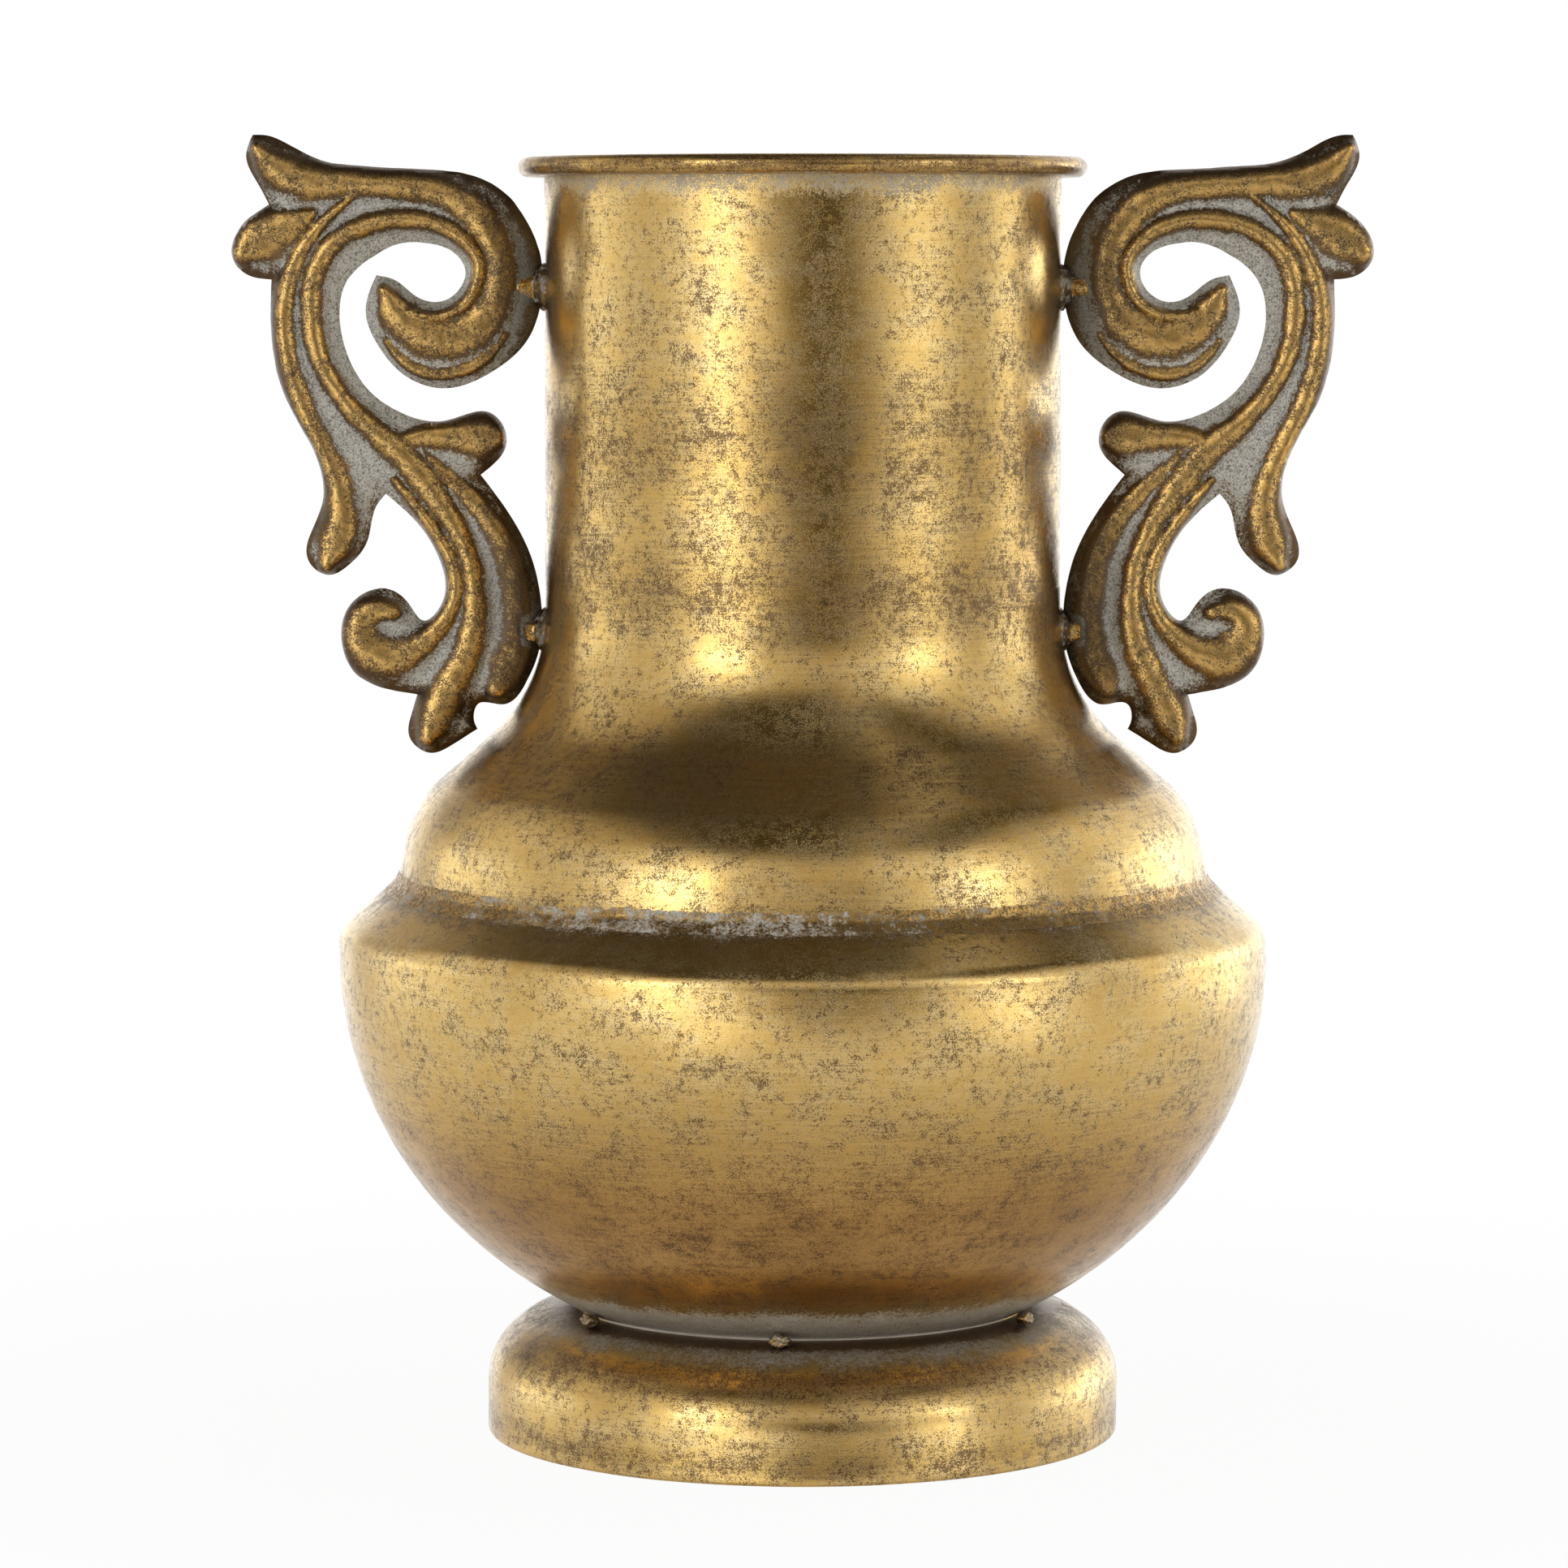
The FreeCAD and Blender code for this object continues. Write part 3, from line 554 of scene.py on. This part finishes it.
# Reeds: how high each stands, how full it is, and its crest places with its width there
reeds = {
    "innerReed": (1.0, 0.98, (
        (0.427, 0.715, 0.042), (0.348, 0.707, 0.058), (0.266, 0.719, 0.063), (0.208, 0.757, 0.068),
        (0.201, 0.796, 0.070), (0.252, 0.831, 0.080), (0.347, 0.857, 0.088), (0.465, 0.863, 0.092),
        (0.583, 0.850, 0.092), (0.681, 0.818, 0.095), (0.737, 0.762, 0.100), (0.741, 0.701, 0.100),
        (0.726, 0.653, 0.095), (0.671, 0.596, 0.090), (0.574, 0.537, 0.106), (0.469, 0.493, 0.132),
        (0.370, 0.435, 0.132), (0.286, 0.373, 0.100), (0.231, 0.308, 0.090), (0.216, 0.248, 0.106),
        (0.227, 0.196, 0.122), (0.267, 0.140, 0.138), (0.318, 0.090, 0.159), (0.352, 0.051, 0.150),
        (0.372, 0.026, 0.085))),
    "outerReed": (0.9, 1.0, (
        (0.604, 0.899, 0.032), (0.696, 0.861, 0.053), (0.779, 0.807, 0.074), (0.824, 0.744, 0.087),
        (0.831, 0.681, 0.090), (0.808, 0.616, 0.095), (0.761, 0.551, 0.100), (0.699, 0.485, 0.106),
        (0.655, 0.426, 0.121), (0.650, 0.373, 0.148), (0.677, 0.330, 0.137), (0.699, 0.306, 0.069))),
    "topLimb": (0.95, 1.14, (
        (0.916, 0.977, 0.050), (0.866, 0.949, 0.116), (0.790, 0.927, 0.142), (0.669, 0.922, 0.122),
        (0.530, 0.919, 0.104), (0.399, 0.914, 0.110), (0.281, 0.896, 0.121), (0.181, 0.854, 0.132),
        (0.134, 0.799, 0.121), (0.137, 0.744, 0.121), (0.198, 0.694, 0.153), (0.322, 0.672, 0.158),
        (0.414, 0.688, 0.158), (0.482, 0.726, 0.116), (0.508, 0.749, 0.053))),
    "voluteRim": (0.62, 1.1, (
        (0.114, 0.679, 0.032), (0.178, 0.641, 0.047), (0.283, 0.617, 0.053), (0.376, 0.617, 0.053),
        (0.449, 0.637, 0.047), (0.499, 0.666, 0.032))),
    "sideLeaf": (0.9, 1.35, (
        (0.965, 0.809, 0.079), (0.935, 0.822, 0.137), (0.881, 0.838, 0.153), (0.807, 0.855, 0.105),
        (0.738, 0.872, 0.037))),
    "innerLeaf": (0.85, 1.3, (
        (0.464, 0.505, 0.047), (0.363, 0.515, 0.084), (0.258, 0.515, 0.111), (0.174, 0.513, 0.132),
        (0.139, 0.514, 0.090))),
    "curlReed": (0.9, 1.08, (
        (0.475, 0.443, 0.037), (0.399, 0.396, 0.053), (0.328, 0.347, 0.063), (0.284, 0.294, 0.069),
        (0.287, 0.248, 0.074), (0.346, 0.200, 0.092), (0.433, 0.166, 0.135), (0.521, 0.157, 0.175),
        (0.583, 0.181, 0.160), (0.591, 0.214, 0.130), (0.545, 0.233, 0.110), (0.480, 0.230, 0.065))),
    "edgeReed": (0.72, 1.1, (
        (0.443, 0.503, 0.053), (0.338, 0.461, 0.069), (0.232, 0.415, 0.079), (0.148, 0.360, 0.095),
        (0.096, 0.291, 0.106), (0.083, 0.233, 0.111), (0.092, 0.176, 0.122), (0.124, 0.132, 0.127),
        (0.148, 0.106, 0.085))),
}


def onHandle(places):
    # Shares to millimetres; a third number is a width
    places = np.asarray(places, float)
    out = places * handle["width"]
    out[:, 0] += handle["inner"]
    out[:, 1] = handle["bottom"] + places[:, 1] * handle["height"]
    return out


def distanceTo(points, line, closed=False):
    # Distance from each point to a polyline, with the place along it that is nearest
    best = np.full(len(points), 1e9)
    where = np.zeros(len(points))
    ends = np.vstack([line[1:], line[:1]]) if closed else line[1:]
    starts = line if closed else line[:-1]
    for i, (a, b) in enumerate(zip(starts[:, :2], ends[:, :2])):
        step = b - a
        t = np.clip(((points - a) @ step) / max(step @ step, 1e-9), 0, 1)
        gap = np.hypot(*(points - a - t[:, None] * step).T)
        closer = gap < best
        best[closer] = gap[closer]
        where[closer] = i + t[closer]
    return best, where


def insideOf(points, loop):
    inside = np.zeros(len(points), bool)
    x, z = points.T
    for (x0, z0), (x1, z1) in zip(loop, np.roll(loop, -1, axis=0)):
        crosses = (z0 > z) != (z1 > z)
        with np.errstate(divide="ignore", invalid="ignore"):
            inside ^= crosses & (x < (x1 - x0) * (z - z0) / (z1 - z0) + x0)
    return inside


def reliefHeight(points, loop):
    # How far one face stands off the middle plane, how rubbed its crests are, how near the outline each point
    # is, and the place along the outline that is nearest
    gap, beside = distanceTo(points, loop, closed=True)
    slope = np.clip(gap / handle["flank"], 0, 1)
    ground = handle["edge"] + (handle["ground"] - handle["edge"]) * slope ** 0.75
    tall = ground.copy()
    crest = np.zeros(len(points))
    for rise, full, places in reeds.values():
        line = smoothLine(onHandle(places), 0.7)
        away, where = distanceTo(points, line)
        half = np.interp(where, np.arange(len(line)), line[:, 2]) / 2 * full
        across = np.clip(away / half, 0, 1)
        top = handle["thick"] * rise
        hump = ground + (top - ground) * (1 - across ** 2) ** 0.8
        hump[across >= 1] = 0
        taller = hump > tall
        tall[taller] = hump[taller]
        crest = np.maximum(crest, np.where(taller, 1 - across ** 1.3, 0))
    for height in stub["heights"].values():
        beyond = np.maximum(points[:, 0] - stub["sunk"], 0)
        off = np.hypot(np.maximum(np.abs(points[:, 1] - height) - stub["pocketHalf"], 0), beyond)
        tall = np.minimum(tall, stub["pocketLevel"] + stub["pocketSlope"] * off)
        crest *= np.clip((off - 1.0) / 2.5, 0, 1)
    inset = np.clip(gap / handle["roundOver"], 0, 1)
    rim = handle["edge"] + (handle["thick"] * 1.02 - handle["edge"]) * np.sqrt(1 - (1 - inset) ** 2)
    flank = np.clip(1 - gap / handle["flank"], 0, 1)
    return np.minimum(tall, rim), crest, flank, beside


def handleLoop():
    # The outline, and where each of its stretches starts
    stretches = [smoothLine(onHandle(stretch), 0.7)[:-1] for stretch in outline]
    return np.vstack(stretches), np.cumsum([0] + [len(stretch) for stretch in stretches])


def scrollHandle(name, side, seed, replaced):
    loop, reach = handleLoop()
    centre = loop.mean(axis=0)
    nicks = np.array([grown((p[0], p[1], 0), 5, seed) for p in loop])
    outward = (loop - centre) / np.linalg.norm(loop - centre, axis=1)[:, None]
    loop = loop + outward * nicks[:, None] * handle["flash"]
    (left, bottom), (right, top) = loop.min(axis=0), loop.max(axis=0)
    grid = handle["grid"]
    columns, rows = np.meshgrid(np.arange(left, right, grid), np.arange(bottom, top, grid * 0.866))
    columns[1::2] += grid / 2
    spots = np.column_stack([columns.ravel(), rows.ravel()])
    spots = spots[insideOf(spots, loop)]
    spots = spots[distanceTo(spots, loop, closed=True)[0] > grid * 0.55]
    flat = [Vector(p) for p in np.vstack([loop, spots])]
    edge = len(loop)
    points, _, faces = delaunay_2d_cdt(flat, [], [list(range(edge))], 1, 1e-5)[:3]
    points = np.array([tuple(p) for p in points])
    tall, crest, flank, beside = reliefHeight(points, loop)
    pale = np.interp(np.interp(beside, reach, np.arange(len(reach))), *zip(*handle["greyFlanks"]))
    tall[:edge] = handle["edge"]
    vertices = []
    painted = {layer: [] for layer in layers}
    for face in (-1, 1):
        for i, (x, z) in enumerate(points):
            bump = handle["cast"] * grown((x, face * 20, z), 2.6, seed) if i >= edge else 0
            vertices.append((side * x * mm, face * (tall[i] + bump) * mm, z * mm))
            ground = (1 - min(1, crest[i] * 1.3)) ** 1.2
            grey = 1 - flank[i] * (1 - pale[i])
            # Towards the neck the casting is made browner, warmer and blacker
            byNeck = max(0, min(1, (handle["inner"] + handle["blackened"] - x) / handle["blackened"]))
            painted["grime"].append(0.9 * ground * grey - 0.1 * crest[i])
            rubbing = 0.12 + 0.55 * near(crest[i], 0.3, 0.3)
            painted["wear"].append(rubbing + 0.9 * ground * (1 - grey) + 0.6 * byNeck)
            painted["warmth"].append(0.8 - 0.9 * crest[i] + 0.4 * byNeck)
            painted["soot"].append(byNeck * (1 - 0.6 * crest[i]))
    count = len(points)
    walls = [[i, (i + 1) % edge, (i + 1) % edge + count, i + count] for i in range(edge)]
    allFaces = [list(f) for f in faces] + [[i + count for i in f[::-1]] for f in faces] + walls
    return finishPiece(name, vertices, allFaces, painted, castGold, replaced)


rightHandle = scrollHandle("rightScroll", 1, 31, ["right_handle"])
scrollHandle("leftScroll", -1, 37, ["left_handle"])
print("handles cast, with", len(rightHandle.data.vertices), "points on the right one")


def turned(name, profile, height, side, knobbly, replaced, seed, marks, capped=True):
    # Spins a profile of distances along X and radii round a level line
    steps = 56
    vertices = []
    painted = {layer: [] for layer in layers}
    for along, radius in profile:
        for i in range(steps):
            angle = 2 * math.pi * i / steps
            y, z = math.cos(angle), math.sin(angle)
            reach = radius + knobbly * grown((along, y * radius, z * radius), 2.4, seed)
            vertices.append((side * along * mm, y * reach * mm, (height + z * reach) * mm))
            spot = grown((along, y * radius * 1.3, z * radius * 1.3), 1.8, seed + 3)
            for layer, value in zip(layers, marks):
                painted[layer].append(value + (spot * 0.6 if layer == "grime" else 0))
    rows = len(profile)
    rings = range(rows - 1) if capped else range(rows)
    faces = [[r * steps + i, (r + 1) % rows * steps + i, (r + 1) % rows * steps + (i + 1) % steps,
              r * steps + (i + 1) % steps] for r in rings for i in range(steps)]
    if capped:
        faces += [list(range(steps)), list(range((rows - 1) * steps, rows * steps))]
    return finishPiece(name, vertices, faces, painted, weldGold, replaced)


# Stubs: a short bar with a swollen end, and a bead round it on the neck
for sideName, side in (("right", 1), ("left", -1)):
    for level, height in stub["heights"].items():
        name = sideName + level.title()
        seed = 41 + 7 * side + (3 if level == "upper" else 0)
        turned(name + "Bar", evenly(stub["bar"], 0.5), height, side, stub["knobbly"],
               [sideName + "_" + level + "_stub"], seed, (0.16, 0.1, 0.3, 0.15))
        bead = evenly(stub["beads"] + stub["beads"][:1], 0.4)[:-1]
        turned(name + "Bead", bead, height, side, 0.4, ["stub_neck_welds"], seed + 1,
               (0.4, 0.5, 0.1, 0.55), capped=False)

# Tack welds in the notch over the foot
tacks = {"angles": (-95, -30, 32, 90, 150, 214), "ring": 64.4, "height": 33.3, "size": (2.7, 2.1, 1.7),
         "rough": 0.3, "marks": (0.42, 0.3, 0.2, 0.45)}


def weldLump(name, seed):
    # A blob of weld: a ball pushed about by noise
    ball = bmesh.new()
    bmesh.ops.create_icosphere(ball, subdivisions=4, radius=1)
    for vertex in ball.verts:
        push = 1 + tacks["rough"] * grown(vertex.co * 1.3, 1, seed)
        vertex.co = Vector([vertex.co[i] * tacks["size"][i] * push for i in range(3)]) * mm
    vertices = [vertex.co.to_tuple() for vertex in ball.verts]
    faces = [[vertex.index for vertex in face.verts] for face in ball.faces]
    ball.free()
    painted = {layer: [value] * len(vertices) for layer, value in zip(layers, tacks["marks"])}
    return finishPiece(name, vertices, faces, painted, weldGold, ["foot_tack_welds"])


for i, angle in enumerate(tacks["angles"]):
    turn = math.radians(angle)
    tack = weldLump("tackWeld" + str(i + 1), 61 + i)
    place = Vector((tacks["ring"] * math.cos(turn), tacks["ring"] * math.sin(turn), tacks["height"])) * mm
    tack.data.transform(Matrix.Translation(place) @ Matrix.Rotation(turn + math.pi / 2, 4, "Z"))
print("stubs and welds done")
